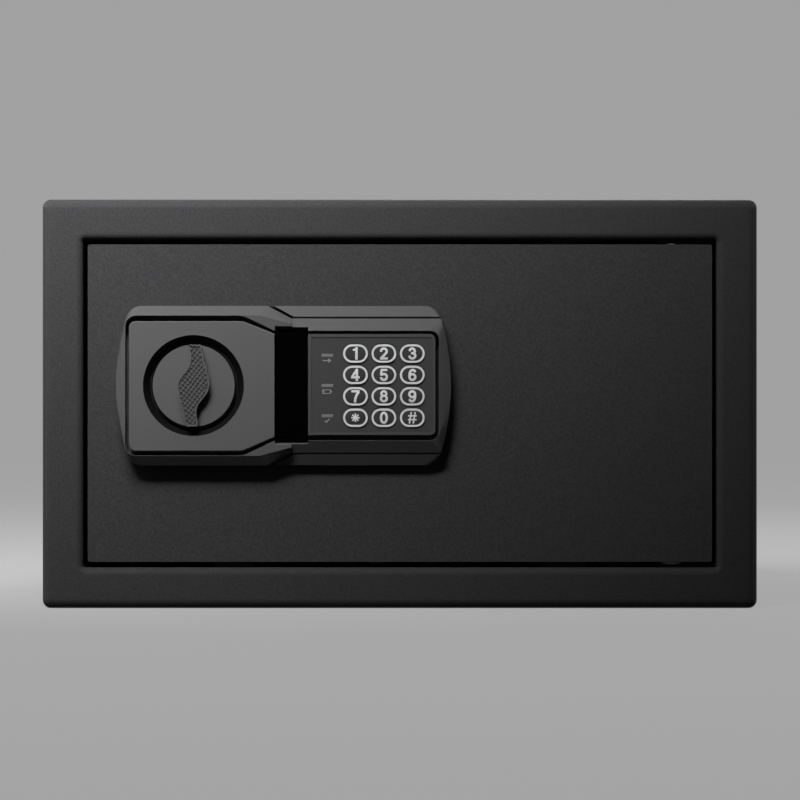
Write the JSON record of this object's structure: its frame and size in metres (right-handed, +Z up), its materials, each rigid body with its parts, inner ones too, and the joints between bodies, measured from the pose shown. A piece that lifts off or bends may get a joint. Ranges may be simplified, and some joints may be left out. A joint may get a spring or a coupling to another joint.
{
  "type": "electronic safe",
  "caption": "Wide low security safe with a recessed side-hinged door, a raised keypad lock with a turning knob, sliding bolts and anchor holes.",
  "frame": {"origin": "centre of the flat underside that the safe stands on", "axes": "+X to the right seen from the front, +Y from the door to the back panel, +Z up"},
  "size_m": [0.43, 0.3885, 0.246],
  "materials": {
    "powder_coat": "fine textured black powder coat",
    "steel": "zinc plated",
    "bolt_steel": "turned and nickel plated",
    "nylon": "natural",
    "felt": "needle felt",
    "housing_plastic": "fine spark-eroded texture",
    "grip_plastic": "diamond grip pattern",
    "keypad_plastic": "satin",
    "key_plastic": "satin with white printing",
    "gloss_black": "polished",
    "lens": "translucent grey",
    "circuit_board": "solder mask",
    "silicone": "matt",
    "brass": "turned",
    "coil": "wound and taped",
    "cell": "printed sleeve",
    "red_plastic": "moulded",
    "grommet_rubber": "matt",
    "wire": "insulated leads in red, black and grey"
  },
  "bodies": {
    "cabinet": {"cabinet_wrap": "powder_coat", "back_panel": "powder_coat", "strike_bar": "powder_coat", "door_stops": "powder_coat", "hinge_bracket_upper": "powder_coat", "hinge_bracket_lower": "powder_coat", "hinge_pins": "steel", "hinge_washer": "nylon", "floor_mat": "felt"},
    "door": {"door_plate": "powder_coat", "door_pan": "powder_coat", "hinge_knuckles": "powder_coat", "inner_cover": "powder_coat", "cover_screws": "steel", "fascia_housing": "housing_plastic", "knob_plate": "housing_plastic", "keypad_panel": "keypad_plastic", "keypad_board": "circuit_board", "key_mat": "silicone", "status_lenses": "lens", "spindle_bush": "brass", "guide_studs": "steel", "solenoid_frame": "steel", "solenoid_coil": "coil", "plate_screws": "steel", "override_lock_body": "bolt_steel", "override_lock_nut": "bolt_steel", "battery_box": "housing_plastic", "battery_cells": "cell", "battery_contacts": "steel", "reset_switch": "housing_plastic", "cable_grommet": "grommet_rubber", "wiring_leads": "wire"},
    "knob": {"knob": "housing_plastic", "knob_insert": "grip_plastic", "knob_spindle": "steel", "drive_cam": "steel", "cam_clip": "steel"},
    "boltwork": {"bolt_carriage": "steel", "bolt_upper": "bolt_steel", "bolt_lower": "bolt_steel"},
    "plunger": {"solenoid_plunger": "steel", "plunger_spring": "steel"},
    "override": {"override_plug": "bolt_steel", "override_cam": "steel"},
    "key_cover": {"key_cover": "gloss_black"},
    "battery_lid": {"battery_lid": "housing_plastic"},
    "reset_button": {"reset_button": "red_plastic"},
    "key_1": {"key_1": "key_plastic"},
    "key_2": {"key_2": "key_plastic"},
    "key_3": {"key_3": "key_plastic"},
    "key_4": {"key_4": "key_plastic"},
    "key_5": {"key_5": "key_plastic"},
    "key_6": {"key_6": "key_plastic"},
    "key_7": {"key_7": "key_plastic"},
    "key_8": {"key_8": "key_plastic"},
    "key_9": {"key_9": "key_plastic"},
    "key_star": {"key_star": "key_plastic"},
    "key_0": {"key_0": "key_plastic"},
    "key_hash": {"key_hash": "key_plastic"}
  },
  "joints": [
    {"name": "door_swing", "type": "hinge", "parent": "cabinet", "child": "door", "pos_m": [0.1639, -0.172, 0.1234], "axis": [0, 0, 1], "range_deg": [0, 100]},
    {"name": "knob_turn", "type": "hinge", "parent": "door", "child": "knob", "pos_m": [-0.1233, -0.182, 0.1339], "axis": [0, -1, 0], "range_deg": [0, 90]},
    {"name": "bolt_throw", "type": "slide", "parent": "door", "child": "boltwork", "axis": [-1, 0, 0], "range_m": [0, 0.017]},
    {"name": "plunger_drop", "type": "slide", "parent": "door", "child": "plunger", "axis": [0, 0, 1], "range_m": [-0.0045, 0], "stiffness_N_per_m": 60, "springref_m": -0.006, "deforming": ["plunger_spring"]},
    {"name": "override_turn", "type": "hinge", "parent": "door", "child": "override", "pos_m": [-0.06475, -0.182, 0.1339], "axis": [0, -1, 0], "range_deg": [0, 90]},
    {"name": "key_cover_pull", "type": "slide", "parent": "door", "child": "key_cover", "axis": [0, -1, 0], "range_m": [0, 0.025]},
    {"name": "battery_lid_pull", "type": "slide", "parent": "door", "child": "battery_lid", "axis": [0, 1, 0], "range_m": [0, 0.02]},
    {"name": "reset_press", "type": "slide", "parent": "door", "child": "reset_button", "axis": [0, -1, 0], "range_m": [0, 0.002], "stiffness_N_per_m": 300},
    {"name": "key_1_press", "type": "slide", "parent": "door", "child": "key_1", "axis": [0, 1, 0], "range_m": [0, 0.001], "stiffness_N_per_m": 400},
    {"name": "key_2_press", "type": "slide", "parent": "door", "child": "key_2", "axis": [0, 1, 0], "range_m": [0, 0.001], "stiffness_N_per_m": 400},
    {"name": "key_3_press", "type": "slide", "parent": "door", "child": "key_3", "axis": [0, 1, 0], "range_m": [0, 0.001], "stiffness_N_per_m": 400},
    {"name": "key_4_press", "type": "slide", "parent": "door", "child": "key_4", "axis": [0, 1, 0], "range_m": [0, 0.001], "stiffness_N_per_m": 400},
    {"name": "key_5_press", "type": "slide", "parent": "door", "child": "key_5", "axis": [0, 1, 0], "range_m": [0, 0.001], "stiffness_N_per_m": 400},
    {"name": "key_6_press", "type": "slide", "parent": "door", "child": "key_6", "axis": [0, 1, 0], "range_m": [0, 0.001], "stiffness_N_per_m": 400},
    {"name": "key_7_press", "type": "slide", "parent": "door", "child": "key_7", "axis": [0, 1, 0], "range_m": [0, 0.001], "stiffness_N_per_m": 400},
    {"name": "key_8_press", "type": "slide", "parent": "door", "child": "key_8", "axis": [0, 1, 0], "range_m": [0, 0.001], "stiffness_N_per_m": 400},
    {"name": "key_9_press", "type": "slide", "parent": "door", "child": "key_9", "axis": [0, 1, 0], "range_m": [0, 0.001], "stiffness_N_per_m": 400},
    {"name": "key_star_press", "type": "slide", "parent": "door", "child": "key_star", "axis": [0, 1, 0], "range_m": [0, 0.001], "stiffness_N_per_m": 400},
    {"name": "key_0_press", "type": "slide", "parent": "door", "child": "key_0", "axis": [0, 1, 0], "range_m": [0, 0.001], "stiffness_N_per_m": 400},
    {"name": "key_hash_press", "type": "slide", "parent": "door", "child": "key_hash", "axis": [0, 1, 0], "range_m": [0, 0.001], "stiffness_N_per_m": 400}
  ],
  "couplings": [
    {"joint": "knob_turn", "follows": "bolt_throw", "rad_per_m": 92.39}
  ]
}
